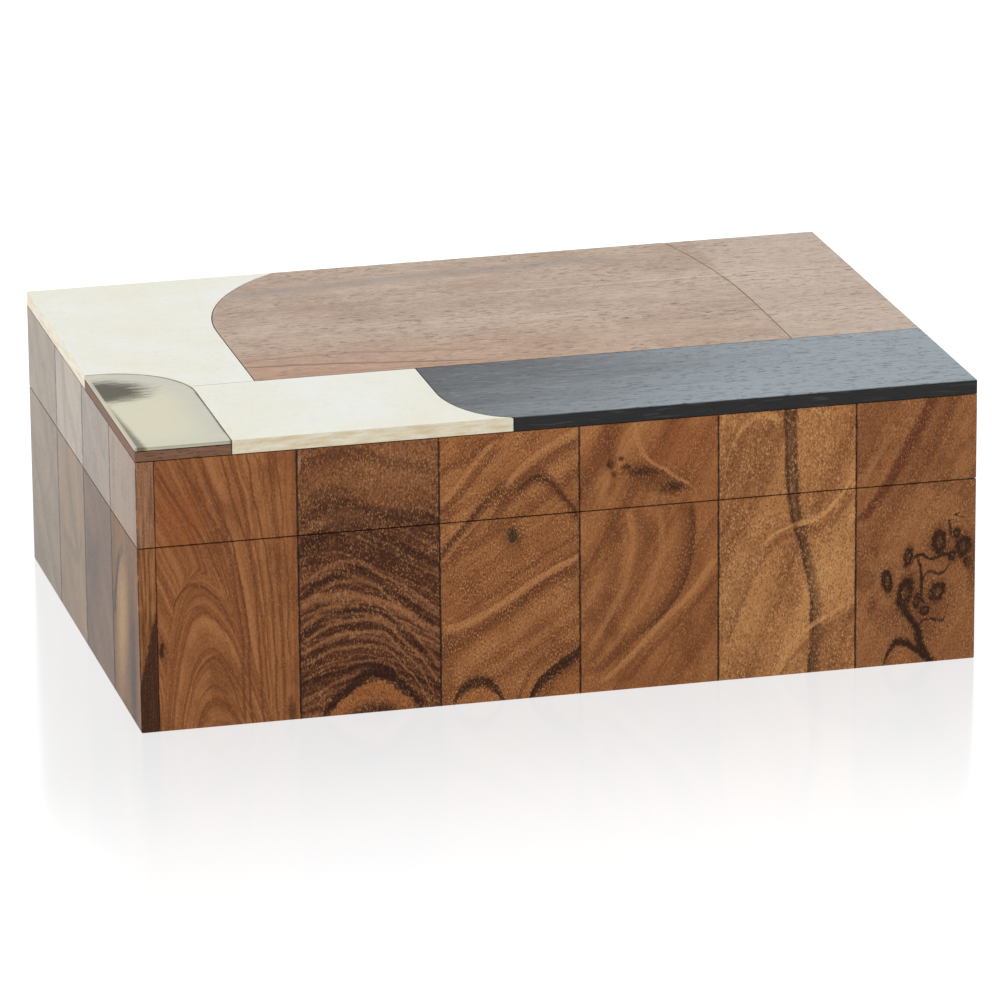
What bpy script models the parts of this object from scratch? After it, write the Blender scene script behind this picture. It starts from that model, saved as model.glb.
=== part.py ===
"""An inlaid wooden box with a hinged lid.

A glued core of boards is clad in upright wooden tiles. The lid's top is inlaid with bone, wood, ebony
and a brass corner plate, and the lid turns on two small butt hinges set into the back wall.

Metres, +Z up. The origin is the middle of the underside, +X runs to the right along the front, and +Y
runs to the back.
"""

import math

import bmesh
import bpy
from mathutils import Euler, Matrix, Vector

# Driving dimensions of the closed box
BOX_WIDTH = 0.254
BOX_DEPTH = 0.171
BOX_HEIGHT = 0.087
SEAM_HEIGHT = 0.0564
GAP = 0.0003
CORNER_ROUNDING = 0.0004
SEAM_ROUNDING = 0.0002

# Layers, from the outside in
TILE_THICKNESS = 0.0052
WALL_THICKNESS = 0.006
BOTTOM_THICKNESS = 0.006
TOP_THICKNESS = 0.005
FELT_THICKNESS = 0.001
INLAY_THICKNESS = 0.0042
BRASS_THICKNESS = 0.001

# Tiles: one pitch for every side, and a shorter first tile on the left
TILE_PITCH = 0.0423
LEFT_FIRST_TILE = 0.040
LONG_SIDE_TILES = 6
SHORT_SIDE_TILES = 4

# Inlay outlines, measured from the lid's front left corner
BAND_DEPTH = 0.0566
BRASS_WIDTH = 0.0285
BRASS_DEPTH = 0.076
BRASS_RADIUS = 0.025
PANEL_LEFT = 0.0476
PANEL_BEND = 0.111
PANEL_RADIUS = 0.073
EBONY_LEFT = 0.0965
EBONY_BEND = 0.030
EBONY_END_WIDTH = 0.0195
EBONY_END_DEPTH = 0.0304
PANEL_JOINT = 0.2134
PANEL_JOINT_BEND = 0.100
PANEL_JOINT_RADIUS = 0.300
INLAY_ARC_STEP = math.radians(4.0)
EBONY_END_STEPS = 14

# Hinges
HINGE_LENGTH = 0.025
HINGE_OFFSET = 0.0625
KNUCKLES = 5
LEAF_THICKNESS = 0.0011
LEAF_REACH = 0.0122
BARREL_RADIUS = 0.0023
PIN_RADIUS = 0.001
PIN_HEAD_RADIUS = 0.0017
PIN_HEAD_LENGTH = 0.0008
PIN_HEAD_FLAT_RADIUS = 0.75 * PIN_HEAD_RADIUS
SCREW_SPACING = 0.013
SCREW_SETBACK = 0.0102
SCREW_HOLE_RADIUS = 0.0011
COUNTERSINK_RADIUS = 0.0021
COUNTERSINK_DEPTH = 1.02 * LEAF_THICKNESS
ROUND_STEPS = 20
HINGE_SHARP_ANGLE = math.radians(30.0)

# Points closer together than this are the same point
SAME_PLACE = 1e-6
SAME_TURNED_POINT = 1e-5

# Positions worked out from the dimensions
LEFT, RIGHT = -BOX_WIDTH / 2, BOX_WIDTH / 2
FRONT, BACK = -BOX_DEPTH / 2, BOX_DEPTH / 2
BASE_RIM = SEAM_HEIGHT - GAP / 2
LID_RIM = SEAM_HEIGHT + GAP / 2
INLAY_BOTTOM = BOX_HEIGHT - INLAY_THICKNESS
LID_TILE_TOP = INLAY_BOTTOM - GAP
TOP_BOARD_BOTTOM = LID_TILE_TOP - TOP_THICKNESS
CLADDING = TILE_THICKNESS + GAP
HINGE_AXIS = Vector((0.0, BACK + BARREL_RADIUS + GAP, SEAM_HEIGHT))
PIN_HOLE_RADIUS = PIN_RADIUS + GAP
HALF_GAP = GAP / 2

# Colour, roughness and metallic value of each material
FINISHES = {
    "golden wood": ((0.33, 0.165, 0.068), 0.38, 0.0),
    "reddish wood": ((0.29, 0.115, 0.048), 0.38, 0.0),
    "dark wood": ((0.13, 0.052, 0.022), 0.38, 0.0),
    "pale wood": ((0.42, 0.235, 0.105), 0.38, 0.0),
    "burl wood": ((0.31, 0.145, 0.062), 0.38, 0.0),
    "panel wood": ((0.50, 0.33, 0.225), 0.45, 0.0),
    "packing wood": ((0.21, 0.105, 0.07), 0.6, 0.0),
    "ebony": ((0.018, 0.018, 0.020), 0.32, 0.0),
    "bone": ((0.80, 0.77, 0.68), 0.3, 0.0),
    "brass": ((0.62, 0.50, 0.27), 0.3, 1.0),
    "core board": ((0.10, 0.052, 0.03), 0.6, 0.0),
    "felt": ((0.035, 0.022, 0.016), 0.95, 0.0),
}
SIDE_WOODS = {
    "front": ("reddish wood", "dark wood", "golden wood", "golden wood", "pale wood", "burl wood"),
    "back": ("golden wood", "pale wood", "reddish wood", "golden wood", "dark wood", "golden wood"),
    "left": ("golden wood", "reddish wood", "golden wood", "pale wood"),
    "right": ("reddish wood", "golden wood", "dark wood", "golden wood"),
}

parts = bpy.data.collections.new("inlaid_box")
cutters = bpy.data.collections.new("inlaid_box_cutters")


def clear_scene():
    for obj in list(bpy.data.objects):
        bpy.data.objects.remove(obj, do_unlink=True)
    bpy.context.scene.collection.children.link(parts)
    bpy.context.scene.collection.children.link(cutters)


def finish(piece, kind, parent=None):
    """Files the piece with the parts, gives it a material and hangs it on its parent, in place."""
    colour, roughness, metallic = FINISHES[kind]
    material = bpy.data.materials.new(f"{kind} of {piece.name}")
    material.use_nodes = True
    shader = material.node_tree.nodes["Principled BSDF"]
    shader.inputs["Base Color"].default_value = (*colour, 1.0)
    shader.inputs["Roughness"].default_value = roughness
    shader.inputs["Metallic"].default_value = metallic
    piece.data.materials.clear()
    piece.data.materials.append(material)
    parts.objects.link(piece)
    if parent:
        piece.parent = parent
        piece.location -= parent.location
    return piece


def box_object(name, low, high):
    """A rectangular block between two opposite corners, with its origin in its middle."""
    low, high = Vector(low), Vector(high)
    shape = bmesh.new()
    bmesh.ops.create_cube(shape, size=1.0)
    bmesh.ops.scale(shape, vec=high - low, verts=shape.verts)
    mesh = bpy.data.meshes.new(name)
    shape.to_mesh(mesh)
    shape.free()
    block = bpy.data.objects.new(name, mesh)
    block.location = (low + high) / 2
    return block


def outline_object(name, outlines, thickness, centre, rotation=(0.0, 0.0, 0.0)):
    """A flat piece as a mesh, extruded from closed 2D outlines; any outline after the first is a hole."""
    curve = bpy.data.curves.new(f"{name}_outline", "CURVE")
    curve.dimensions = "2D"
    curve.fill_mode = "BOTH"
    curve.extrude = thickness / 2
    for outline in outlines:
        spline = curve.splines.new("POLY")
        spline.points.add(len(outline) - 1)
        spline.use_cyclic_u = True
        for point, (x, y) in zip(spline.points, outline):
            point.co = (x, y, 0.0, 1.0)
    drawn = bpy.data.objects.new(f"{name}_outline", curve)
    parts.objects.link(drawn)
    graph = bpy.context.evaluated_depsgraph_get()
    mesh = bpy.data.meshes.new_from_object(drawn.evaluated_get(graph))
    mesh.name = name
    bpy.data.objects.remove(drawn, do_unlink=True)
    shape = bmesh.new()
    shape.from_mesh(mesh)
    bmesh.ops.remove_doubles(shape, verts=shape.verts, dist=SAME_PLACE)
    bmesh.ops.recalc_face_normals(shape, faces=shape.faces)
    shape.to_mesh(mesh)
    shape.free()
    piece = bpy.data.objects.new(name, mesh)
    piece.location = centre
    piece.rotation_euler = rotation
    return piece


def outer_faces(point):
    """The outer faces of the closed box, and the seam, that a point lies on."""
    x, y, z = point
    distances = {
        "left": x - LEFT,
        "right": x - RIGHT,
        "front": y - FRONT,
        "back": y - BACK,
        "bottom": z,
        "top": z - BOX_HEIGHT,
        "seam": abs(z - SEAM_HEIGHT) - GAP / 2,
    }
    return {name for name, distance in distances.items() if abs(distance) < SAME_PLACE}


def round_edges(piece):
    """Rounds the piece's edges where two outer faces of the box meet, and less at the seam."""
    place = Matrix.Translation(piece.location)
    shape = bmesh.new()
    shape.from_mesh(piece.data)
    weight = shape.edges.layers.float.new("bevel_weight_edge")
    for edge in shape.edges:
        shared = outer_faces(place @ edge.verts[0].co) & outer_faces(place @ edge.verts[1].co)
        if len(shared) >= 2:
            edge[weight] = SEAM_ROUNDING / CORNER_ROUNDING if "seam" in shared else 1.0
    shape.to_mesh(piece.data)
    shape.free()
    bevel = piece.modifiers.new("Rounded edges", "BEVEL")
    bevel.limit_method = "WEIGHT"
    bevel.width = CORNER_ROUNDING
    bevel.segments = 3


def cut(piece, cutter):
    boolean = piece.modifiers.new(f"Cut by {cutter.name}", "BOOLEAN")
    boolean.operation = "DIFFERENCE"
    boolean.object = cutter


def as_cutter(tool):
    cutters.objects.link(tool)
    tool.hide_render = True
    tool.display_type = "WIRE"
    return tool


def arc(centre, radius, start, stop, angle_step=INLAY_ARC_STEP):
    """Points along an arc, both ends included, at about the given step."""
    steps = max(2, math.ceil(abs(stop - start) / angle_step))
    angles = [start + (stop - start) * step / steps for step in range(steps + 1)]
    return [(centre[0] + radius * math.cos(a), centre[1] + radius * math.sin(a)) for a in angles]


def rectangle(left, front, right, back):
    return [(left, front), (right, front), (right, back), (left, back)]


def tile_joints(side):
    """Where the tiles of one side start and end, along that side."""
    if side in ("front", "back"):
        joints = [LEFT + TILE_THICKNESS + i * TILE_PITCH for i in range(LONG_SIDE_TILES)]
        return joints + [RIGHT + HALF_GAP]
    if side == "left":
        joints = [FRONT - HALF_GAP, FRONT + LEFT_FIRST_TILE]
        joints += [joints[1] + i * TILE_PITCH for i in range(1, SHORT_SIDE_TILES - 1)]
        return joints + [BACK + HALF_GAP]
    start = FRONT + TILE_THICKNESS + HALF_GAP
    pitch = -2 * start / SHORT_SIDE_TILES
    return [start + i * pitch for i in range(SHORT_SIDE_TILES + 1)]


def tile_corners(side, start, end, bottom, top):
    """Opposite corners of a tile, which stops half a gap short of the joints at its two ends."""
    start, end = start + HALF_GAP, end - HALF_GAP
    if side == "front":
        return (start, FRONT, bottom), (end, FRONT + TILE_THICKNESS, top)
    if side == "back":
        return (start, BACK - TILE_THICKNESS, bottom), (end, BACK, top)
    if side == "left":
        return (LEFT, start, bottom), (LEFT + TILE_THICKNESS, end, top)
    return (RIGHT - TILE_THICKNESS, start, bottom), (RIGHT, end, top)


def make_tiles(half, bottom, top, mortises, parent=None):
    """The upright tiles round the base or the lid; a mortise cuts the back tile that it crosses."""
    for side, woods in SIDE_WOODS.items():
        joints = tile_joints(side)
        for number, wood in enumerate(woods, start=1):
            start, end = joints[number - 1], joints[number]
            low, high = tile_corners(side, start, end, bottom, top)
            tile = box_object(f"{half}_{side}_tile_{number}", low, high)
            round_edges(tile)
            for mortise in mortises:
                if side == "back" and start < mortise.location.x < end:
                    cut(tile, mortise)
            finish(tile, wood, parent)


def wall_frame(name, bottom, top, mortises, parent=None):
    """The four glued wall boards of the base or the lid, inside the tiles."""
    half_width = BOX_WIDTH / 2 - CLADDING
    half_depth = BOX_DEPTH / 2 - CLADDING
    outside = rectangle(-half_width, -half_depth, half_width, half_depth)
    inside = rectangle(
        WALL_THICKNESS - half_width,
        WALL_THICKNESS - half_depth,
        half_width - WALL_THICKNESS,
        half_depth - WALL_THICKNESS,
    )
    frame = outline_object(name, [outside, inside], top - bottom, (0.0, 0.0, (bottom + top) / 2))
    for mortise in mortises:
        cut(frame, mortise)
    return finish(frame, "core board", parent)


def flat_board(name, inset, bottom, top, kind, parent=None):
    """A board or sheet that is centred in the box, with its edges inset from the outer faces."""
    low = (LEFT + inset, FRONT + inset, bottom)
    high = (RIGHT - inset, BACK - inset, top)
    return finish(box_object(name, low, high), kind, parent)


def make_core(mortises, lid):
    """The boards behind the tiles, and the felt that lines the base's floor and the lid."""
    inside = CLADDING + WALL_THICKNESS + GAP
    wall_frame("base_wall_frame", 0.0, BASE_RIM, mortises)
    flat_board("base_bottom_board", inside, 0.0, BOTTOM_THICKNESS, "core board")
    felt_bottom = BOTTOM_THICKNESS + GAP
    flat_board("base_felt_lining", inside, felt_bottom, felt_bottom + FELT_THICKNESS, "felt")
    wall_frame("lid_wall_frame", LID_RIM, TOP_BOARD_BOTTOM - GAP, mortises, lid)
    flat_board("lid_top_board", CLADDING, TOP_BOARD_BOTTOM, LID_TILE_TOP, "core board", lid)
    felt_top = TOP_BOARD_BOTTOM - GAP
    flat_board("lid_felt_lining", inside, felt_top - FELT_THICKNESS, felt_top, "felt", lid)


def brass_outline():
    corner = (BRASS_WIDTH - BRASS_RADIUS, BRASS_DEPTH - BRASS_RADIUS)
    rounded = arc(corner, BRASS_RADIUS - HALF_GAP, 0.0, math.pi / 2)
    return [(0.0, 0.0), (BRASS_WIDTH - HALF_GAP, 0.0), *rounded, (0.0, BRASS_DEPTH - HALF_GAP)]


def ebony_end(offset):
    """The ebony strip's left end, a quarter oval from the front edge back to where the end runs straight."""
    width, depth = EBONY_END_WIDTH - offset, EBONY_END_DEPTH - offset
    middle = EBONY_LEFT + EBONY_END_WIDTH
    front = math.asin(EBONY_BEND / depth)
    angles = [front * (1.0 - step / EBONY_END_STEPS) for step in range(EBONY_END_STEPS + 1)]
    return [(middle - width * math.cos(a), EBONY_BEND - depth * math.sin(a)) for a in angles]


def panel_end(offset):
    """The main panel's rounded left end, from where it runs straight round to the back edge."""
    radius = PANEL_RADIUS - offset
    back = math.pi - math.asin((BOX_DEPTH - PANEL_BEND) / radius)
    return arc((PANEL_LEFT + PANEL_RADIUS, PANEL_BEND), radius, math.pi, back)


def panel_joint(offset):
    """The slightly bowed joint between the main panel and the end panel, from front to back."""
    radius = PANEL_JOINT_RADIUS + offset
    back = math.asin((BOX_DEPTH - PANEL_JOINT_BEND) / radius)
    return arc((PANEL_JOINT - PANEL_JOINT_RADIUS, PANEL_JOINT_BEND), radius, 0.0, back)


def brass_corner(band_edge, start, stop_at_band):
    """The cut round the brass plate's corner, down to the joint between the two bone panels."""
    radius = BRASS_RADIUS + HALF_GAP
    corner = (BRASS_WIDTH - BRASS_RADIUS, BRASS_DEPTH - BRASS_RADIUS)
    at_band = math.asin((band_edge - corner[1]) / radius)
    return arc(corner, radius, start, at_band) if stop_at_band else arc(corner, radius, at_band, start)


def inlay_outlines():
    """Each inlay piece's outline, measured from the lid's front left corner, with half a gap all round."""
    behind = BAND_DEPTH + HALF_GAP
    ahead = BAND_DEPTH - HALF_GAP
    return {
        "bone_panel_back": [
            (0.0, BRASS_DEPTH + HALF_GAP),
            *brass_corner(behind, math.pi / 2, True),
            (PANEL_LEFT - HALF_GAP, behind),
            *panel_end(-HALF_GAP),
            (0.0, BOX_DEPTH),
        ],
        "bone_panel_front": [
            (BRASS_WIDTH + HALF_GAP, 0.0),
            *ebony_end(-HALF_GAP),
            (EBONY_LEFT - HALF_GAP, ahead),
            *brass_corner(ahead, 0.0, False),
        ],
        "wood_panel_main": [
            (PANEL_JOINT - HALF_GAP, behind),
            *panel_joint(-HALF_GAP),
            *reversed(panel_end(HALF_GAP)),
            (PANEL_LEFT + HALF_GAP, behind),
        ],
        "wood_panel_end": [
            (BOX_WIDTH, behind),
            (BOX_WIDTH, BOX_DEPTH),
            *reversed(panel_joint(HALF_GAP)),
            (PANEL_JOINT + HALF_GAP, behind),
        ],
        "ebony_strip": [
            (BOX_WIDTH, 0.0),
            (BOX_WIDTH, ahead),
            (EBONY_LEFT + HALF_GAP, ahead),
            *reversed(ebony_end(HALF_GAP)),
        ],
    }


def inlay_piece(name, outline, bottom, top, kind, lid):
    placed = [(x + LEFT, y + FRONT) for x, y in outline]
    piece = outline_object(name, [placed], top - bottom, (0.0, 0.0, (bottom + top) / 2))
    round_edges(piece)
    return finish(piece, kind, lid)


def make_inlay(lid):
    """The inlaid layer that covers the lid, flush on top and with the tiles all round."""
    kinds = {"bone": "bone", "wood": "panel wood", "ebony": "ebony"}
    for name, outline in inlay_outlines().items():
        inlay_piece(name, outline, INLAY_BOTTOM, BOX_HEIGHT, kinds[name.split("_")[0]], lid)
    brass_bottom = BOX_HEIGHT - BRASS_THICKNESS
    inlay_piece("brass_corner_plate", brass_outline(), brass_bottom, BOX_HEIGHT, "brass", lid)
    packing_top = brass_bottom - GAP
    inlay_piece("brass_packing", brass_outline(), INLAY_BOTTOM, packing_top, "packing wood", lid)


def make_mortise(name, x):
    """The recess for both leaves of a hinge, half in the base's rim and half in the lid's."""
    depth = LEAF_THICKNESS + GAP + HALF_GAP
    front = HINGE_AXIS.y - LEAF_REACH - GAP
    low = (x - HINGE_LENGTH / 2 - GAP, front, SEAM_HEIGHT - depth)
    high = (x + HINGE_LENGTH / 2 + GAP, BACK + BARREL_RADIUS, SEAM_HEIGHT + depth)
    return as_cutter(box_object(f"{name}_mortise", low, high))


def leaf_profile(side):
    """A leaf's cross-section about the hinge axis: a flat leaf that runs into the knuckle's ring."""
    near, far = HALF_GAP, HALF_GAP + LEAF_THICKNESS
    underside = math.pi - math.asin(near / BARREL_RADIUS)
    upper_side = math.pi - math.asin(far / BARREL_RADIUS)
    step = 2 * math.pi / ROUND_STEPS
    ring = arc((0.0, 0.0), BARREL_RADIUS, underside, upper_side + 2 * math.pi, step)
    outside = [(-LEAF_REACH, near), *ring, (-LEAF_REACH, far)]
    hole = arc((0.0, 0.0), PIN_HOLE_RADIUS, 0.0, 2 * math.pi, step)[:-1]
    return [[(y, side * z) for y, z in outline] for outline in (outside, hole)]


def cut_knuckles(leaf, x, own):
    """Cuts the ring away wherever the other leaf has a knuckle."""
    pitch = HINGE_LENGTH / KNUCKLES
    front = HINGE_AXIS.y - BARREL_RADIUS - GAP
    reach = BARREL_RADIUS + GAP
    for knuckle in range(KNUCKLES):
        if knuckle % 2 == own:
            continue
        start = x - HINGE_LENGTH / 2 + knuckle * pitch - HALF_GAP
        low = (start, front, SEAM_HEIGHT - reach)
        high = (start + pitch + GAP, HINGE_AXIS.y + reach, SEAM_HEIGHT + reach)
        cut(leaf, as_cutter(box_object(f"{leaf.name}_notch_{knuckle}", low, high)))


def cut_countersinks(leaf, x, side):
    """Two countersunk screw holes, which open towards the other leaf."""
    middle = SEAM_HEIGHT + side * (HALF_GAP + LEAF_THICKNESS / 2)
    for hole in (-1, 1):
        shape = bmesh.new()
        bmesh.ops.create_cone(
            shape,
            cap_ends=True,
            segments=ROUND_STEPS,
            radius1=COUNTERSINK_RADIUS,
            radius2=SCREW_HOLE_RADIUS,
            depth=COUNTERSINK_DEPTH,
        )
        mesh = bpy.data.meshes.new(f"{leaf.name}_countersink")
        shape.to_mesh(mesh)
        shape.free()
        cone = bpy.data.objects.new(f"{leaf.name}_countersink_{hole}", mesh)
        cone.location = (x + hole * SCREW_SPACING / 2, HINGE_AXIS.y - SCREW_SETBACK, middle)
        cone.rotation_euler.x = 0.0 if side > 0 else math.pi
        cut(leaf, as_cutter(cone))


def make_leaf(name, x, side, own, parent=None):
    """One leaf of a butt hinge; side is -1 in the base and 1 in the lid."""
    centre = (x, HINGE_AXIS.y, HINGE_AXIS.z)
    along_x = (math.pi / 2, 0.0, math.pi / 2)
    leaf = outline_object(name, leaf_profile(side), HINGE_LENGTH, centre, along_x)
    cut_knuckles(leaf, x, own)
    cut_countersinks(leaf, x, side)
    leaf.data.shade_smooth()
    leaf.data.set_sharp_from_angle(angle=HINGE_SHARP_ANGLE)
    return finish(leaf, "brass", parent)


def make_pin(name, x):
    """The hinge pin, a turned rod with a low domed head at each end."""
    half = HINGE_LENGTH / 2 + HALF_GAP
    dome = PIN_HEAD_LENGTH / 2
    profile = [
        (0.0, half + PIN_HEAD_LENGTH),
        (PIN_HEAD_FLAT_RADIUS, half + PIN_HEAD_LENGTH),
        (PIN_HEAD_RADIUS, half + dome),
        (PIN_HEAD_RADIUS, half),
        (PIN_RADIUS, half),
    ]
    profile += [(radius, -height) for radius, height in reversed(profile)]
    mesh = bpy.data.meshes.new(name)
    edges = [(i, i + 1) for i in range(len(profile) - 1)]
    mesh.from_pydata([(radius, 0.0, height) for radius, height in profile], edges, [])
    pin = bpy.data.objects.new(name, mesh)
    screw = pin.modifiers.new("Turned", "SCREW")
    screw.steps = ROUND_STEPS
    screw.render_steps = ROUND_STEPS
    screw.use_merge_vertices = True
    screw.merge_threshold = SAME_TURNED_POINT
    pin.rotation_euler = Euler((0.0, math.pi / 2, 0.0))
    pin.location = (x, HINGE_AXIS.y, HINGE_AXIS.z)
    return finish(pin, "brass")


def make_hinges(lid):
    for name, x in (("left_hinge", -HINGE_OFFSET), ("right_hinge", HINGE_OFFSET)):
        make_leaf(f"{name}_base_leaf", x, -1, 0)
        make_leaf(f"{name}_lid_leaf", x, 1, 1, lid)
        make_pin(f"{name}_pin", x)


def make_box():
    clear_scene()
    lid = bpy.data.objects.new("lid_hinge_axis", None)
    lid.location = HINGE_AXIS
    parts.objects.link(lid)
    mortises = [make_mortise("left_hinge", -HINGE_OFFSET), make_mortise("right_hinge", HINGE_OFFSET)]
    make_tiles("base", 0.0, BASE_RIM, mortises)
    make_tiles("lid", LID_RIM, LID_TILE_TOP, mortises, lid)
    make_core(mortises, lid)
    make_inlay(lid)
    make_hinges(lid)
    bpy.context.view_layer.update()


make_box()
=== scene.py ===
"""Looks for an inlaid wooden box: materials, small fittings, floor, light and camera.

Lengths in the materials are in millimetres: x from the box's left face, y from its front
face and z up from its underside, so that a vein or a streak sits where a ruler would find it.
"""
import math

import bmesh
import bpy
from mathutils import Matrix, Vector, noise


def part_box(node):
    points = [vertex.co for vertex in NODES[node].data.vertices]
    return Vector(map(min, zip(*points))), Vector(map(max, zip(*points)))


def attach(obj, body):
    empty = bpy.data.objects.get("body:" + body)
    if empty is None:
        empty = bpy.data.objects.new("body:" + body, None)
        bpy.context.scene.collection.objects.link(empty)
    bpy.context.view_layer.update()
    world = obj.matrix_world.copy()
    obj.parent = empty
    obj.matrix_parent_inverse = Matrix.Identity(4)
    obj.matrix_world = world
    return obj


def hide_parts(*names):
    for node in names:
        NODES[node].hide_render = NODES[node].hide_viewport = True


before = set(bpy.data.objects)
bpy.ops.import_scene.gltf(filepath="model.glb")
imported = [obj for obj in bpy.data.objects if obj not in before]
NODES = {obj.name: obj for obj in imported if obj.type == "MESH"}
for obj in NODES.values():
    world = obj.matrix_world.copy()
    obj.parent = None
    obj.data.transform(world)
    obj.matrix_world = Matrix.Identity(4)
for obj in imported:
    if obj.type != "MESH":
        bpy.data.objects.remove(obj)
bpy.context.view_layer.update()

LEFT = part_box("base_left_tile_1")[0].x
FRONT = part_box("base_front_tile_1")[0].y
SEAM = (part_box("base_front_tile_1")[1].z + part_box("lid_front_tile_1")[0].z) / 2
MM = 0.001
# Half of the closed box's width and depth, and the joint between the lid's wood panels, in mm
HALF_WIDTH, HALF_DEPTH = 127.0, 85.5
PANEL_JOINT = 213.4


# ---------------------------------------------------------------- shader building blocks


class Field:
    """A number that varies over a surface. Sums and products of fields become shader nodes."""

    def __init__(self, tree, socket):
        self.tree = tree
        self.socket = socket

    def math(self, operation, *others):
        return node_math(self.tree, operation, self, *others)

    def __add__(self, other):
        return self.math("ADD", other)

    def __sub__(self, other):
        return self.math("SUBTRACT", other)

    def __mul__(self, other):
        return self.math("MULTIPLY", other)

    def __truediv__(self, other):
        return self.math("DIVIDE", other)

    def __radd__(self, other):
        return node_math(self.tree, "ADD", other, self)

    def __rsub__(self, other):
        return node_math(self.tree, "SUBTRACT", other, self)

    def abs(self):
        return self.math("ABSOLUTE")

    def sqrt(self):
        return self.math("SQRT")

    def least(self, other):
        return self.math("MINIMUM", other)

    def most(self, other):
        return self.math("MAXIMUM", other)

    def smooth(self, low, high, most=1.0):
        """0 below low, most above high and a smooth step between; turned round where low > high."""
        first, last = (0.0, most) if low < high else (most, 0.0)
        inputs = {"Value": self, "From Min": min(low, high), "From Max": max(low, high)}
        inputs |= {"To Min": first, "To Max": last}
        return add_node(self.tree, "MapRange", inputs, interpolation_type="SMOOTHSTEP")

    def above(self, along, points):
        """How far this field lies above the smooth curve through points, read at along."""
        (start, end), (low, high) = ((min(p[i] for p in points), max(p[i] for p in points)) for i in (0, 1))
        reach, rise = end - start, max(high - low, 0.01)
        node = self.tree.nodes.new("ShaderNodeFloatCurve")
        curve = node.mapping.curves[0]
        for spare in range(len(points) - len(curve.points)):
            curve.points.new(0.5, 0.5)
        for point, (a, b) in zip(curve.points, sorted(points)):
            point.location = ((a - start) / reach, (b - low) / rise)
            point.handle_type = "AUTO_CLAMPED"
        node.mapping.update()
        plug(self.tree, node.inputs["Value"], along.math("MULTIPLY_ADD", 1.0 / reach, -start / reach))
        return Field(self.tree, node.outputs[0]).math("MULTIPLY_ADD", -rise, self - low)


def plug(tree, socket, value):
    """Links a field to a socket, or sets the socket to a plain number or colour."""
    if isinstance(value, Field):
        tree.links.new(value.socket, socket)
    elif isinstance(value, (tuple, list)) and len(value) == 3 and socket.type == "RGBA":
        socket.default_value = (*value, 1.0)
    else:
        socket.default_value = value


def add_node(tree, kind, inputs, output=0, **settings):
    """Adds a shader node and returns one output. Inputs and outputs go by name or number."""
    node = tree.nodes.new("ShaderNode" + kind)
    for setting, value in settings.items():
        setattr(node, setting, value)
    for socket, value in inputs.items():
        plug(tree, node.inputs[socket], value)
    return Field(tree, node.outputs[output])


def node_math(tree, operation, *values):
    return add_node(tree, "Math", dict(enumerate(values)), operation=operation)


def parts(tree, vector):
    """The x, y and z of a vector."""
    split = tree.nodes.new("ShaderNodeSeparateXYZ")
    plug(tree, split.inputs[0], vector)
    return [Field(tree, output) for output in split.outputs]


class Surface:
    """A material with a Principled shader, and the place on the box as x, y, z in millimetres."""

    def __init__(self, name, **uniform):
        self.material = bpy.data.materials.new(name)
        self.material.use_nodes = True
        self.tree = self.material.node_tree
        self.shader = self.tree.nodes["Principled BSDF"]
        for socket, value in uniform.items():
            plug(self.tree, self.shader.inputs[socket.replace("_", " ")], value)
        x, y, z = parts(self.tree, add_node(self.tree, "TexCoord", {}, "Object"))
        self.x = (x - LEFT) * (1.0 / MM)
        self.y = (y - FRONT) * (1.0 / MM)
        self.z = z * (1.0 / MM)
        self.place = (self.x, self.y, self.z)

    def noise(self, x, y, z, detail=2.0, roughness=0.5, bend=0.0):
        """Soft noise, 0 to 1 around 0.5, with one bump per unit of x, y and z."""
        place = add_node(self.tree, "CombineXYZ", {0: x, 1: y, 2: z})
        inputs = {"Vector": place, "Scale": 1.0, "Detail": detail}
        inputs |= {"Roughness": roughness, "Distortion": bend}
        return add_node(self.tree, "TexNoise", inputs)

    def ramp(self, value, stops):
        """A colour for each value; stops are (value, colour)."""
        node = self.tree.nodes.new("ShaderNodeValToRGB")
        elements = node.color_ramp.elements
        for spare in range(len(stops) - len(elements)):
            elements.new(1.0)
        for element, (place, colour) in zip(elements, stops):
            element.position = place
            element.color = (*colour, 1.0)
        plug(self.tree, node.inputs[0], value)
        return Field(self.tree, node.outputs[0])

    def mix(self, factor, first, second):
        """The first colour, covered by the second as far as factor says."""
        return add_node(self.tree, "Mix", {0: factor, 6: first, 7: second}, 2, data_type="RGBA")

    def brightness(self, colour):
        return add_node(self.tree, "RGBToBW", {0: colour})

    def facing(self, axis):
        """How far the flat face turns towards an axis of the box: 1 faces it, 0 is side on."""
        normal = add_node(self.tree, "NewGeometry", {}, "True Normal")
        turn = {"vector_type": "NORMAL", "convert_from": "WORLD", "convert_to": "OBJECT"}
        turned = add_node(self.tree, "VectorTransform", {0: normal}, **turn)
        return parts(self.tree, turned)["XYZ".index(axis)].abs()

    def done(self, colour, roughness=None, height=None, depth_mm=0.1):
        """Joins the colour, the roughness and the bump to the shader."""
        plug(self.tree, self.shader.inputs["Base Color"], colour)
        if roughness is not None:
            plug(self.tree, self.shader.inputs["Roughness"], roughness)
        if height is not None:
            bump = add_node(self.tree, "Bump", {"Distance": depth_mm * MM, "Height": height})
            plug(self.tree, self.shader.inputs["Normal"], bump)
        return self.material


# ---------------------------------------------------------------- tile woods

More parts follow.
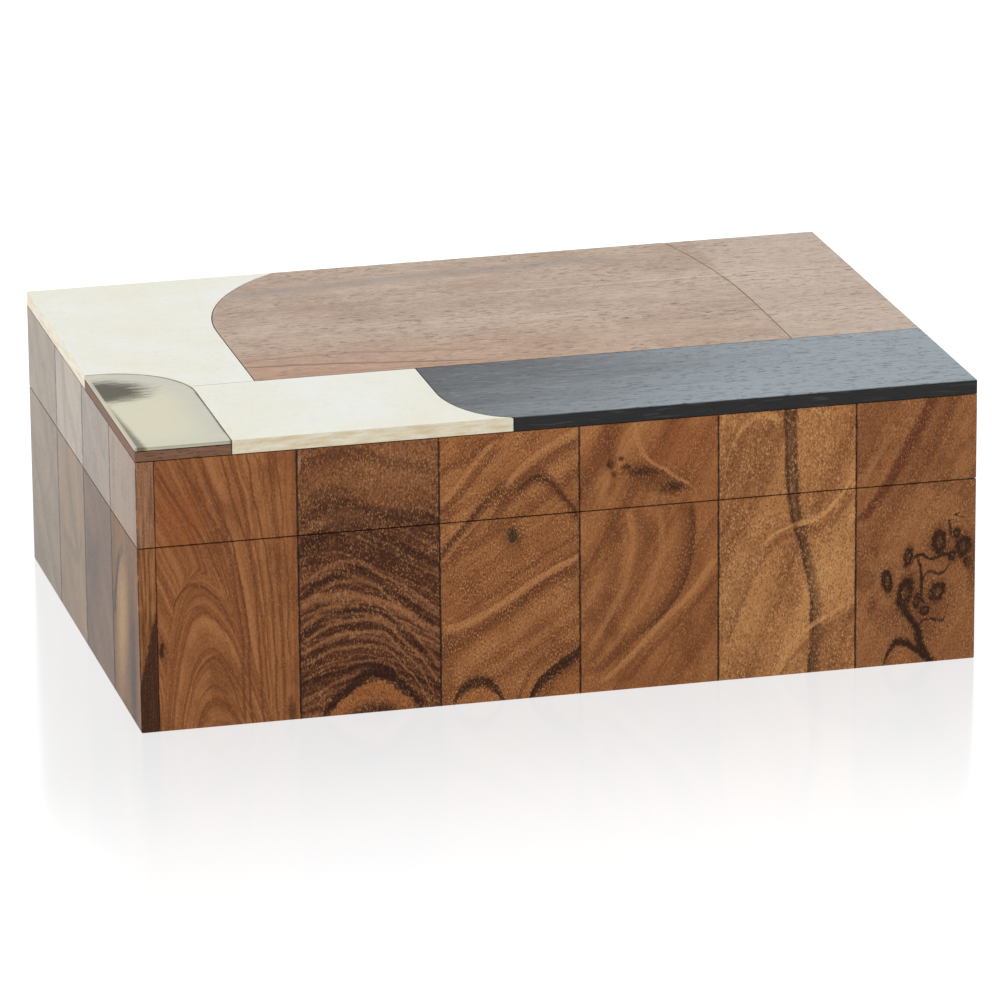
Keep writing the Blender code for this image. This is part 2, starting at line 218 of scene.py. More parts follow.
# Each wood: darkest vein, dark growth line, body, light growth line, fleck
TILE_WOODS = {
    "golden": (
        (0.035, 0.01, 0.004), (0.15, 0.047, 0.015), (0.3, 0.108, 0.034),
        (0.42, 0.175, 0.062), (0.62, 0.32, 0.13),
    ),
    "reddish": (
        (0.04, 0.012, 0.005), (0.155, 0.048, 0.016), (0.29, 0.102, 0.033),
        (0.4, 0.165, 0.06), (0.56, 0.28, 0.11),
    ),
    "dark": (
        (0.022, 0.006, 0.003), (0.046, 0.013, 0.006), (0.105, 0.033, 0.013),
        (0.28, 0.112, 0.045), (0.5, 0.25, 0.1),
    ),
    "pale": (
        (0.045, 0.014, 0.006), (0.215, 0.078, 0.026), (0.39, 0.16, 0.054),
        (0.54, 0.255, 0.092), (0.7, 0.4, 0.17),
    ),
    "burl": (
        (0.026, 0.008, 0.004), (0.13, 0.042, 0.015), (0.27, 0.1, 0.034),
        (0.38, 0.158, 0.058), (0.58, 0.3, 0.12),
    ),
}
DARKEST, DARK, BODY, LIGHT = range(4)
ORANGE = (0.34, 0.118, 0.034)
KNOT_BROWN = (0.11, 0.042, 0.017)
UMBER = (0.08, 0.033, 0.016)
# Dark glue in the tile joints; the same colour paints shade in the panel's cracks and along the lid seam
GLUE_AND_SHADE = (0.024, 0.011, 0.007)


def shade_of(shades, tint):
    return shades[tint] if isinstance(tint, int) else tint


def one_way(values):
    """Whether the values only rise or only fall."""
    steps = [b - a for a, b in zip(values, values[1:])]
    return min(steps) > 0 or max(steps) < 0


def streak(points, tint, strength, below, above):
    """A vein through (u, v) points: it fades over below and above millimetres to its two sides."""
    us, vs = zip(*points)
    wide, tall = max(us) - min(us), max(vs) - min(vs)
    level = one_way(us) and (wide > tall or not one_way(vs))

    def paint(surface, u, v, rough, colour, shades):
        along, across = (u, v) if level else (v, u)
        route = points if level else [(b, a) for a, b in points]
        start, end = min(route)[0], max(route)[0]
        offset = across.above(along, route) + rough * (0.35 * (below + above))
        mask = offset.smooth(-below, -0.25 * below) * offset.smooth(above, 0.25 * above, strength)
        mask = mask * along.smooth(start - 1.5, start + 1.0) * along.smooth(end + 1.5, end - 1.0)
        return surface.mix(mask, colour, shade_of(shades, tint))

    return paint


def reach_from(u, v, rough, u0, v0, width, height, lean, fray):
    """0 in the middle of an uneven oval and 1 at its rim."""
    a = (u - u0 - (v - v0) * lean) * (2.0 / width)
    b = (v - v0) * (2.0 / height)
    return (a * a + b * b).sqrt() + rough * fray


def spot(u0, v0, width, height, tint, strength, soft=0.5, lean=0.0, fray=1.2):
    """An uneven patch of another colour, as wide and high as it says in millimetres."""

    def paint(surface, u, v, rough, colour, shades):
        reach = reach_from(u, v, rough, u0, v0, width, height, lean, fray)
        return surface.mix(reach.smooth(1.0 + soft, 1.0 - soft, strength), colour, shade_of(shades, tint))

    return paint


def eye(u0, v0, width, height, lean=0.0):
    """A burl eye: a dark ring about a brown core, with darker wood around it."""

    def paint(surface, u, v, rough, colour, shades):
        reach = reach_from(u, v, rough, u0, v0, width, height, lean, 0.8)
        colour = surface.mix(reach.smooth(2.2, 1.0, 0.75), colour, shade_of(shades, DARK))
        colour = surface.mix(reach.smooth(1.4, 1.0, 0.95), colour, shade_of(shades, DARKEST))
        return surface.mix(reach.smooth(0.62, 0.28, 0.65), colour, KNOT_BROWN)

    return paint


def arches(centre, width, rise, lean=0.0, tilt=0.0):
    """Nested cathedral arches about a leaning middle line."""

    def field(surface, u, v):
        across = u - centre - v * lean
        return v + (across * across + width * width).sqrt() * rise + across * tilt

    return field


def stripes(slope_u, slope_v):
    """Growth lines that run straight across the tile."""

    def field(surface, u, v):
        return u * slope_u + v * slope_v

    return field


def fan(surface, u, v):
    """Nested arches low down on the left, and lines that fan out from the lower right to the upper left."""
    across = u + v * 0.12 - 23.3
    arch = v + across * across * 0.18
    spread = (45.0 - u) / (v * v * 0.0002 + 1.0)
    inside = arch.smooth(50.0, 44.0)
    return arch * inside + spread * 3.2 * (1.0 - inside)


def tile_wood(name, shades, along, ends, seed, figure, marks=(), lines=1.0, pitch=3.3, flecks=1.0,
              joint=0.3, polish=1.18):
    """The wood of one column of tiles; figure gives the growth lines' field from (surface, u, v)."""
    surface = Surface(name, IOR=polish)
    u = surface.x if along == "x" else surface.y
    v = surface.z
    deep = surface.y if along == "x" else surface.x
    darkest, dark, body, light, fleck_tint = shades
    wander = surface.noise(u * 0.07, v * 0.06, deep * 0.02 + seed, 2.0, 0.5)
    wobble = surface.noise(u * 0.45, v * 0.28, deep * 0.05 + seed, 3.0, 0.65)
    growth = figure(surface, u, v) + wander * 6.0 + wobble * 1.3 + deep * 3.0
    rings = surface.noise(growth * (1.0 / pitch), seed, 0.0, 5.0, 0.68)
    rings = rings.math("MULTIPLY_ADD", 2.6 * lines, 0.5 - 1.3 * lines)
    colour = surface.ramp(rings, [(0.2, dark), (0.5, body), (0.8, light)])
    cloud = surface.noise(u * 0.1, v * 0.07, seed + 3.0, 4.0, 0.6)
    colour = surface.mix(cloud.smooth(0.46, 0.72, 0.6), colour, dark)
    warp = wander * 2.4 + wobble * 0.8 - 1.6
    rough = surface.noise(u * 0.9, v * 0.9, seed, 2.0, 0.6) - 0.5
    for mark in marks:
        colour = mark(surface, u + warp, v + warp, rough, colour, shades)
    fibre = surface.noise(u * 3.5, v * 0.3, deep * 3.5 + seed, 4.0, 0.75)
    colour = surface.mix(fibre.smooth(0.5, 0.3, 0.4), colour, surface.mix(0.6, colour, dark))
    colour = surface.mix(fibre.smooth(0.52, 0.72, 0.3), colour, surface.mix(0.6, colour, light))
    grain = surface.noise(u * 2.5, v * 1.35, deep * 2.5 + seed + 9.0, 1.0, 0.5)
    crowd = surface.noise(u * 0.16, v * 0.12, seed + 6.0, 2.0, 0.5).smooth(0.3, 0.62)
    fleck = grain.smooth(0.56, 0.66, 0.6 * flecks) * (crowd * 0.7 + 0.3)
    pit = grain.smooth(0.44, 0.32, 0.6 * flecks)
    colour = surface.mix(pit, colour, surface.mix(0.7, colour, darkest))
    fleck = fleck * surface.brightness(colour).smooth(0.0, 0.05)
    colour = surface.mix(fleck, colour, surface.mix(0.75, colour, fleck_tint))
    shown = surface.facing("Y" if along == "x" else "X").smooth(0.3, 0.6, 0.9)
    # Dark glue along the tile joints, and painted shade along the seam between lid and base
    edge = (u - ends[0]).least(ends[1] - u) * (0.45 / joint)
    edge = edge.least((v - SEAM / MM).abs() + 0.12)
    broken = surface.noise(u * 0.1, v * 0.35, seed + 4.0, 3.0, 0.7)
    edge = (edge + (wobble - 0.5) * 0.7).smooth(0.45, 0.1) * shown * broken.smooth(0.3, 0.52)
    colour = surface.mix(edge, colour, GLUE_AND_SHADE)
    roughness = 0.3 + fibre * 0.1 + (fleck + pit) * 0.1
    return surface.done(colour, roughness, fibre * 0.7 - pit - fleck * 0.4, 0.08)


FAN_AND_ARCHES = (
    spot(12.5, 65, 12, 18, (0.28, 0.075, 0.022), 0.5),
    streak([(6.7, 79), (12.5, 69), (20, 56.7), (25, 44)], DARK, 0.8, 0.9, 0.35),
    streak([(13.3, 81), (20, 67.5), (26.7, 52.5), (30, 32.5), (31.5, 2)], DARK, 0.8, 1.2, 0.35),
    streak([(19.7, 79), (27.5, 55.8), (31.7, 32.5), (33.3, 0.8)], DARK, 0.9, 0.8, 0.35),
    streak([(25, 82), (30, 64), (34.2, 44), (35.8, 20.8), (37, 0)], DARK, 0.8, 0.9, 0.35),
    streak([(28.5, 82), (33, 62), (37, 40), (38.6, 15)], DARK, 0.6, 0.5, 0.3),
    streak([(32.5, 82), (37.5, 55.8), (40, 32.5), (40.8, 0.8)], DARK, 0.8, 0.8, 0.35),
    streak([(36.5, 82), (40.5, 58), (42.4, 34), (43.3, 8)], DARK, 0.5, 0.6, 0.3),
    streak([(41.7, 82), (43.7, 55.8), (44.8, 20.8)], DARK, 0.7, 0.6, 0.3),
    streak(
        [(7.6, 22), (8.5, 30), (11, 40), (16, 44.4), (21, 42), (24.5, 37.5), (28, 28)],
        DARK, 0.9, 1.6, 0.4,
    ),
    streak([(10.5, 18), (12, 30), (16.5, 37), (21.5, 34), (25.5, 26), (28.5, 12)], DARK, 0.5, 1.2, 0.4),
    streak(
        [(14.4, 3), (16, 15), (19, 20), (21.7, 21.4), (25, 18.5), (28, 11), (31, 2)],
        DARK, 0.9, 1.6, 0.4,
    ),
    streak([(17.5, 3), (19.5, 11.5), (22, 13), (25, 9.5), (27.5, 2)], DARK, 0.5, 0.9, 0.4),
    spot(6.6, 25, 1.4, 5, DARKEST, 0.95, 0.4),
    spot(45, 3, 2.2, 9, DARKEST, 0.7, 0.6),
)
DARK_WAVES = (
    spot(48.3, 78.7, 0.9, 5, (0.75, 0.68, 0.55), 0.9, 0.3, 0, 0.3),
    spot(66, 74, 60, 34, (0.215, 0.078, 0.028), 0.85, 0.25),
    spot(80, 76, 22, 12, (0.3, 0.125, 0.048), 0.7, 0.9),
    spot(56, 67, 13, 9, UMBER, 0.65, 0.9),
    spot(72, 60, 36, 5, UMBER, 0.6, 0.9),
    streak([(50, 70), (58, 73.5), (68, 71.5), (78, 72), (88, 67)], LIGHT, 0.45, 3, 1),
    streak([(49, 77.5), (60, 80.5), (74, 77), (88, 74)], DARK, 0.4, 3.5, 2),
    streak([(49, 60), (60, 65), (72, 61.5), (88, 57.5)], DARK, 0.6, 3, 3),
    streak([(49, 54), (60, 57), (74, 50.5), (88.5, 43)], DARKEST, 0.5, 4, 4),
    streak([(49, 41.5), (56, 46), (62, 47.5), (72, 43), (88.5, 31)], LIGHT, 0.6, 1.2, 0.6),
    streak([(49, 35.5), (57, 40.5), (64, 41.5), (76, 34), (88.5, 22)], LIGHT, 0.5, 1, 0.6),
    streak([(49, 38), (57, 43), (64, 44.5), (74, 38.5), (88.5, 26)], DARKEST, 0.6, 2.2, 1.6),
    streak([(49, 29), (58, 34.5), (66, 35), (78, 27.5), (88.5, 15)], LIGHT, 0.6, 1.1, 0.6),
    streak([(49, 26.5), (58, 31.5), (66.5, 32.3), (78.5, 25), (88.5, 12)], DARKEST, 0.6, 1.4, 1.4),
    streak([(49, 24), (58, 28.5), (67, 29.5), (79, 22), (88.5, 9)], LIGHT, 0.8, 1.2, 0.7),
    streak([(49, 20.5), (58, 24.5), (68, 25.5), (80, 17), (87.5, 5)], LIGHT, 0.8, 1, 0.6),
    streak([(49, 16.5), (58, 20.5), (69, 21), (80, 12.5), (86, 2)], LIGHT, 0.7, 0.9, 0.6),
    streak([(49, 12), (58, 16), (70, 16.5), (79, 9), (83, 2)], LIGHT, 0.45, 0.8, 0.6),
    streak([(49, 5.5), (57, 10), (66, 13.5)], LIGHT, 0.5, 1, 0.6),
    streak([(54, 0), (61, 7), (71.7, 12.4), (78, 8), (84, 0)], DARKEST, 0.85, 3, 3.4),
    streak([(55, -1), (62, 6), (71.7, 9.6), (77, 6), (82, -1)], ORANGE, 0.85, 9, 0.4),
)
KNOT_AND_BANDS = (
    streak([(91, 62), (95, 66.5), (101, 73.5), (107, 80.3)], LIGHT, 0.95, 2.4, 0.9),
    streak([(91, 59.5), (96, 64), (102, 71), (108, 78)], DARK, 0.7, 4, 1),
    streak([(104.7, 57.5), (111.4, 68), (120.8, 75.8), (131.9, 81.4)], LIGHT, 0.95, 1.4, 2),
    streak([(104.5, 55.5), (112, 66.5), (121.4, 73.6), (131.5, 79)], DARK, 0.75, 5, 0.6),
    streak([(90.5, 46), (98.3, 54.3), (104, 61), (110, 65.5)], DARK, 0.85, 3, 6),
    streak([(90.5, 47.5), (98.3, 55.8), (104, 62.5), (110, 66.5)], DARKEST, 0.6, 1.6, 2.2),
    streak(
        [(108, 60), (114, 65.5), (120.5, 68.8), (124.2, 66.5), (127.5, 61.5), (132, 55.5)],
        DARK, 0.85, 5, 3.6,
    ),
    streak(
        [(114, 65.5), (120.5, 68.8), (124.2, 66.5), (127.5, 61.5), (132, 55.5)],
        DARKEST, 0.65, 2.2, 1,
    ),
    streak([(91, 44.5), (98, 52.5), (106, 60)], LIGHT, 0.6, 1.8, 0.8),
    spot(111.6, 50.8, 6, 7.5, UMBER, 0.55, 0.8),
    spot(111.6, 50.8, 3, 4.8, (0.03, 0.016, 0.01), 0.9, 0.5),
    streak([(91, 24.2), (100, 26.6), (108.6, 30.8), (118, 36.4), (131.4, 43)], LIGHT, 0.98, 2.8, 1),
    streak([(114, 31.5), (121, 36), (131.5, 40.5)], DARK, 0.8, 5, 0.6),
    streak([(91, 21.5), (100, 23.5), (110, 28)], DARK, 0.45, 3, 0.6),
    streak(
        [(116.5, -1), (118.7, 4.2), (122.5, 8), (126.7, 10.8), (132.5, 14.4)],
        DARKEST, 0.97, 5.6, 1.4,
    ),
    streak([(113, 0), (117.5, 9), (123, 12.6), (132, 17)], DARK, 0.65, 3, 2.4),
    spot(130.5, 2.5, 10, 9, ORANGE, 0.8, 0.5),
    streak([(93.5, -1), (96, 4.5), (101.4, 6.8), (105.5, 4.8), (109, -1)], DARKEST, 0.92, 3, 2.6),
    streak([(95, -2), (98, 2.6), (101.4, 4.4), (104.5, 2.6), (107, -2)], ORANGE, 0.85, 5, 0.4),
    spot(91.5, 9, 5, 20, DARK, 0.6, 0.8),
)
FLOWING = (
    spot(163, 73.5, 20, 14, (0.24, 0.068, 0.02), 0.6, 0.6, 0.5),
    spot(135, 60, 6, 12, DARK, 0.5, 0.9),
    spot(140.8, 76, 5, 12, DARK, 0.6, 0.9),
    spot(156, 64.5, 18, 7, DARK, 0.9, 0.7, -0.8),
    spot(151, 67, 9, 3, DARKEST, 0.8, 0.8, -0.8),
    spot(160.5, 61.5, 8, 3.4, DARKEST, 0.85, 0.8),
    spot(141.5, 70.2, 2, 3.2, DARKEST, 0.95),
    spot(144.6, 71.6, 1.4, 1.8, DARKEST, 0.85),
    spot(146.2, 69, 3.2, 1.8, DARKEST, 0.85),
    spot(142.4, 66.8, 1.5, 1.8, DARKEST, 0.85),
    streak([(148.5, 82), (150, 75), (152.5, 70.8), (158, 66.8), (165, 62)], LIGHT, 0.85, 1, 1.8),
    streak([(141, 61), (142.5, 67), (142, 75), (140, 82)], DARK, 0.5, 1.6, 1.6),
    streak([(142.5, 56), (143.5, 45), (143, 38), (138.5, 27), (133.6, 20)], DARK, 0.55, 4.4, 2.4),
    streak([(147, 55), (148, 46), (147, 37), (142, 26), (135, 14)], LIGHT, 0.55, 1.4, 1.6),
    streak([(151.5, 55), (152.5, 45), (150.5, 34), (144, 22), (135, 9)], DARK, 0.35, 3.4, 1.6),
    streak([(156.5, 55), (157, 45), (154, 33), (146, 19.5), (136, 6.5)], LIGHT, 0.45, 1.4, 1.8),
    streak(
        [(166.6, 56), (166.4, 44), (164, 33), (159.7, 25.5), (150.5, 16.8), (137.5, 6)],
        DARK, 0.8, 6, 1.4,
    ),
    streak([(166.8, 56), (166.6, 44), (164.4, 33), (160, 25.5), (153, 18.6)], DARKEST, 0.45, 1.6, 0.5),
    streak([(172.5, 38), (166, 29), (157, 20.5), (148, 11.5), (139, 3.5)], LIGHT, 0.9, 1, 2.8),
    streak([(174, 32), (165, 22), (155, 12), (147, 3)], DARK, 0.6, 2.8, 0.8),
)
TALL_STREAK = (
    streak([(176, 62), (179, 72.5), (183, 78.5), (188, 81), (193, 80)], LIGHT, 0.8, 0.8, 2.6),
    streak([(176, 58), (180.5, 71), (185, 77), (190, 78.5)], DARK, 0.45, 5, 0.8),
    spot(186, 66, 15, 24, (0.27, 0.105, 0.036), 0.45, 0.7),
    spot(184, 22, 14, 26, LIGHT, 0.45, 0.8),
    streak(
        [(196.4, 83), (196.6, 68), (197.4, 55), (199.2, 45),
         (201.4, 34.7), (203.4, 26), (204, 12), (203.7, -2)],
        UMBER, 0.78, 2.4, 3,
    ),
    streak(
        [(195.3, 83), (195.4, 68), (196.3, 55), (198.2, 45),
         (200.4, 34.7), (202.4, 26), (203, 12), (202.7, -2)],
        DARKEST, 0.75, 0.8, 0.8,
    ),
    streak([(198, 83), (198.2, 68), (198.8, 55), (200.4, 45)], DARKEST, 0.6, 0.8, 0.7),
    streak(
        [(175.5, 13.8), (179.5, 24), (183.9, 33), (187.7, 40.3), (191.5, 44.5), (196.5, 46.8)],
        LIGHT, 0.95, 0.8, 2.4,
    ),
    streak([(177, 12), (181.5, 23), (186.5, 33), (190.5, 39.5), (196.5, 43.5)], DARK, 0.6, 7, 0.8),
    streak([(199, 46.5), (205, 48.2), (210.5, 52.6), (215.8, 59.7)], LIGHT, 0.9, 0.8, 2),
    streak([(200, 44.5), (206, 46.2), (212, 51), (216.5, 57)], DARK, 0.6, 4, 0.6),
    spot(210.5, 30, 12, 22, LIGHT, 0.65, 0.7),
    streak([(192.5, 1.5), (196.5, 8), (202, 13.6), (210, 18), (216.6, 22)], LIGHT, 0.8, 0.8, 1.8),
    streak([(192.5, -1), (197, 5.5), (203, 11.5), (210, 15.5), (216.6, 19)], DARK, 0.55, 4, 0.6),
)
BURL_EYES = (
    streak(
        [(240.5, 84), (237, 76), (233, 69), (227.5, 58.5), (218.5, 46.5)],
        (0.12, 0.032, 0.012), 0.9, 2.8, 3.6,
    ),
    streak([(248, 84), (243.5, 73), (238.5, 62), (233, 53)], DARK, 0.45, 2.4, 2.4),
    streak([(219, 56), (222.5, 64), (228, 72)], LIGHT, 0.45, 2, 1.2),
    spot(241, 27, 26, 34, (0.33, 0.132, 0.046), 0.6, 0.8),
    spot(237, 18, 15, 20, (0.115, 0.036, 0.014), 0.7, 0.9),
    spot(247, 36, 16, 12, (0.115, 0.036, 0.014), 0.6, 0.9),
    eye(233, 33.6, 2.6, 5.4, 0.15), eye(226.3, 26.4, 3, 6.4, -0.1), eye(232.2, 22.5, 4.2, 8.8, 0.2),
    eye(242.2, 22, 4.2, 5.2, 0.2), eye(242.5, 37.5, 3.6, 7), eye(250, 35.3, 4.4, 6),
    eye(246.4, 32.8, 2.2, 2.6), eye(238.3, 16.6, 3, 2.6), eye(248, 39.8, 2, 2.6),
    eye(236, 20, 1.8, 4), eye(251.5, 30.5, 2.2, 3),
    spot(220, 27.5, 5.5, 6.5, DARK, 0.7, 0.5), spot(220, 27.5, 2.8, 3.6, BODY, 0.7, 0.5),
    spot(222.5, 35.5, 3, 5, DARK, 0.6, 0.6), spot(222, 19.5, 3, 4, DARK, 0.6, 0.6),
    streak(
        [(234.4, 32), (236.6, 34.2), (240.5, 32.6), (244, 33.4), (247, 31.5)],
        DARKEST, 0.95, 0.9, 0.8,
    ),
    streak([(236, 33.6), (237.4, 27), (237.2, 22), (238.8, 18.5)], DARKEST, 0.95, 0.8, 0.8),
    streak([(237.5, 26), (240, 28.8), (243, 27.9), (246, 30.5)], DARKEST, 0.85, 0.8, 0.7),
    streak(
        [(231.8, 19), (233.5, 15), (236, 11.5), (237.2, 7), (239.6, 1.5), (241, -1)],
        DARKEST, 0.98, 2.2, 2.4,
    ),
    streak([(236, 12), (239.5, 13.8), (243.5, 12.9), (245.5, 17)], DARKEST, 0.85, 0.7, 0.8),
    streak(
        [(254, 46.8), (250.5, 44.6), (247.5, 45.4), (245.6, 44), (246.2, 39)],
        DARKEST, 0.95, 0.8, 0.9,
    ),
    streak([(225.5, -0.5), (227.2, 4.6), (230.5, 7), (236, 4.7), (241, 0.5)], DARKEST, 0.97, 1.8, 2.4),
    streak([(227.5, -1), (231, 3), (235.5, 0.5)], ORANGE, 0.7, 3, 0.4),
    spot(253, 29, 3, 12, DARK, 0.7, 0.8),
)
# Wood, growth lines, marks, and the strength of the lines, their pitch and that of the flecks
FRONT_TILES = (
    ("reddish", fan, FAN_AND_ARCHES, 0.75, 3.6, 0.45),
    ("dark", arches(75.0, 7.0, 0.55, -0.3, 0.22), DARK_WAVES, 0.9, 3.3, 1.2),
    ("golden", stripes(-0.55, 0.85), KNOT_AND_BANDS, 0.65, 9.0, 1.2),
    ("golden", stripes(-0.75, 0.45), FLOWING, 0.65, 7.0, 0.7),
    ("pale", stripes(-0.8, 0.35), TALL_STREAK, 0.6, 9.0, 1.1),
    ("burl", stripes(-0.85, 0.5), BURL_EYES, 0.55, 9.0, 0.9),
)
BACK_TILES = ("golden", "pale", "reddish", "golden", "dark", "golden")
# Wood of the left side's tiles: the base's body colour and polish, then the lid's; the base's darker body
# is painted shade and the lid's paler, greyer body painted reflection
LEFT_TILES = (
    ((0.2, 0.095, 0.04), 1.14, (0.27, 0.165, 0.098), 1.4),
    ((0.15, 0.075, 0.036), 1.24, (0.23, 0.155, 0.095), 1.6),
    ((0.225, 0.128, 0.055), 1.34, (0.34, 0.255, 0.17), 1.6),
    ((0.215, 0.138, 0.07), 1.4, (0.23, 0.15, 0.075), 1.6),
)
RIGHT_TILES = ("reddish", "golden", "dark", "golden")


def give(material, *names):
    """Puts a material on CAD nodes."""
    for name in names:
        node = NODES[name]
        for slot in node.material_slots:
            slot.link = "OBJECT"
            slot.material = material


def tile_ends(tile, along):
    """Where a column of tiles starts and ends along its side, in millimetres."""
    low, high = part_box(f"base_{tile}")
    if along == "x":
        return (low.x - LEFT) / MM, (high.x - LEFT) / MM
    return (low.y - FRONT) / MM, (high.y - FRONT) / MM


def plain_figure(ends, number):
    """Growth lines for a tile that the front view doesn't show: three kinds, in turn."""
    middle = sum(ends) / 2
    kinds = (
        stripes(-0.7, 0.4),
        arches(middle - 9.0, 5.0, 1.5, 0.15, 0.3),
        arches(middle + 12.0, 9.0, 0.8, -0.3, -0.4),
    )
    return kinds[number % 3]


def plain_marks(start, seed):
    """A vein and two clouded patches for a tile that the front view doesn't show."""
    shift = seed % 9.0
    vein = [(-2.0, 14.0 + shift), (16.0, 26.0 + shift), (30.0, 22.0), (45.0, 8.0)]
    vein = [(start + along, height) for along, height in vein]
    return (
        spot(start + 12.0 + shift, 70.0 - shift, 16.0, 22.0, DARK, 0.6, 0.9),
        spot(start + 34.0 - shift, 40.0 + shift, 18.0, 28.0, LIGHT, 0.4, 0.9),
        streak(vein, LIGHT, 0.7, 1.2, 3.0),
    )


def finish_tiles():
    for number, (wood, figure, marks, lines, pitch, flecks) in enumerate(FRONT_TILES, 1):
        tile = f"front_tile_{number}"
        ends = tile_ends(tile, "x")
        shades = TILE_WOODS[wood]
        material = tile_wood(
            f"{tile}_wood", shades, "x", ends, 5.3 * number, figure, marks, lines, pitch, flecks
        )
        give(material, f"base_{tile}", f"lid_{tile}")
    for side, woods, along in (("back", BACK_TILES, "x"), ("right", RIGHT_TILES, "y")):
        for number, wood in enumerate(woods, 1):
            tile = f"{side}_tile_{number}"
            ends = tile_ends(tile, along)
            seed = 11.7 * number + len(side)
            figure = plain_figure(ends, number)
            marks = plain_marks(ends[0], seed)
            shades = TILE_WOODS[wood]
            material = tile_wood(f"{tile}_wood", shades, along, ends, seed, figure, marks, pitch=5.0)
            give(material, f"base_{tile}", f"lid_{tile}")
    for number in range(1, len(LEFT_TILES) + 1):
        finish_left_tile(number)


WARM_FRONT_EDGE = [(0.36, (0.13, 0.045, 0.016)), (0.5, (0.27, 0.105, 0.038)), (0.66, (0.38, 0.17, 0.07))]
STAIN = (0.038, 0.013, 0.008)


def end_stain(surface, u, v, rough, colour, shades):
    """The dark heartwood that shows on the front edge of the first left tile, low down."""
    reach = surface.x - (5.6 - (40.0 - v).most(0.0) * 0.24) + rough * 1.6
    stain = reach.smooth(-0.4, 0.8) * v.smooth(54.0, 40.0, 0.9) * surface.facing("Y").smooth(0.3, 0.6)
    return surface.mix(stain, colour, STAIN)


def corner_glow(surface, u, v, rough, colour, shades):
    """The warm orange wood on the front edge of the first left tile, and just round its corner, over the
    side's body colour, which carries painted reflection and shade.
    """
    near = (surface.y + rough * 3.0).smooth(9.0, 1.0, 0.75).most(surface.facing("Y").smooth(0.3, 0.6))
    streaks = surface.noise(surface.x * 1.3 + surface.y * 0.6, v * 0.05, 2.0, 3.0, 0.7)
    warm = surface.ramp(streaks, WARM_FRONT_EDGE)
    return surface.mix(near, colour, warm)


# Marks on the left side, where y runs back from the front corner
LEFT_MARKS = (
    (
        spot(26, 27, 13, 36, (0.46, 0.27, 0.11), 0.8, 0.9, -0.15),
        streak([(28, 46), (33, 36), (37, 26)], DARKEST, 0.9, 1, 3),
        streak([(22, 50), (28, 46), (34, 40)], (0.06, 0.05, 0.05), 0.6, 3, 3),
        spot(10, 14, 10, 44, (0.03, 0.024, 0.028), 0.85, 0.9),
        corner_glow,
        end_stain,
    ),
    (
        streak([(44, 76), (49, 70), (55, 75)], DARK, 0.7, 2, 3),
        spot(70, 28, 18, 20, DARKEST, 0.55, 0.9),
        streak([(60, 40), (66, 34), (78, 32)], DARK, 0.7, 3, 3),
        spot(78, 12, 14, 16, DARK, 0.5, 0.9),
        spot(46, 52, 12, 8, DARK, 0.5, 0.9),
    ),
    (
        streak([(112, 84), (110, 60), (106, 44), (96, 26)], DARK, 0.6, 4, 4),
        streak([(97, 60), (93, 40), (90, 10)], LIGHT, 0.5, 3, 3),
        streak([(88, 32), (100, 24), (118, 26)], DARK, 0.6, 4, 3),
    ),
    (
        spot(143, 70, 8, 3, DARK, 0.8, 0.6),
        streak([(132, 56), (136, 40), (150, 26), (168, 20)], DARK, 0.5, 3, 2),
        spot(160, 6, 26, 14, DARK, 0.5, 0.9),
    ),
)


def shades_about(body):
    """The five shades of a wood, from its body colour."""
    return tuple(tuple(level * part for part in body) for level in (0.16, 0.55, 1, 1.3, 1.6))


def finish_left_tile(number):
    """The left side's lid has more polish than its base, and a paler, greyer body colour: painted
    reflection on the lid, painted shade on the base.
    """
    base_body_with_painted_shade, base_polish, lid_body_with_painted_reflection, lid_polish = LEFT_TILES[number - 1]
    marks = LEFT_MARKS[number - 1]
    ends = tile_ends(f"left_tile_{number}", "y")
    seed = 11.7 * number + 4.0
    figure = stripes(-0.5, 0.5) if number > 1 else stripes(1.0, 0.12)
    for half, body, polish in (("base", base_body_with_painted_shade, base_polish), ("lid", lid_body_with_painted_reflection, lid_polish)):
        tile = f"{half}_left_tile_{number}"
        shades = shades_about(body)
        material = tile_wood(
            f"{tile}_wood", shades, "y", ends, seed, figure, marks, 0.5, 8.0, 0.6, 1.3, polish
        )
        give(material, tile)


# ---------------------------------------------------------------- inlay, boards and brass

PANEL_TINTS = [(0.36, (0.3, 0.185, 0.115)), (0.5, (0.378, 0.258, 0.174)), (0.64, (0.445, 0.325, 0.232))]
# Lines drawn in the lid's panel: (x, y) points, tint, strength, and how far each fades in front and behind
PANEL_LINES = (
    ([(48, 70.2), (67, 68.5), (93, 64.3), (118, 60.5)], (0.1, 0.035, 0.015), 0.8, 0.5, 1.8),
    ([(50, 77), (72, 77.5), (102, 73.8), (122, 71)], (0.16, 0.07, 0.035), 0.5, 0.6, 2.4),
    ([(60, 60), (80, 58.8), (110, 59.5)], (0.16, 0.07, 0.03), 0.45, 0.6, 1),
    ([(60, 148), (117, 155), (183, 160)], (0.235, 0.185, 0.155), 0.6, 8, 4),
    ([(54, 129), (90, 127.5), (120, 129)], (0.22, 0.12, 0.075), 0.35, 0.6, 2),
    ([(133, 130.4), (190, 129.8), (254, 130)], (0.56, 0.43, 0.32), 0.6, 0.5, 0.8),
    ([(133, 129.2), (190, 128.6), (254, 128.8)], (0.22, 0.13, 0.085), 0.45, 1, 0.3),
    ([(200, 92), (222, 88.5), (254, 90)], (0.22, 0.13, 0.08), 0.4, 2, 1),
)


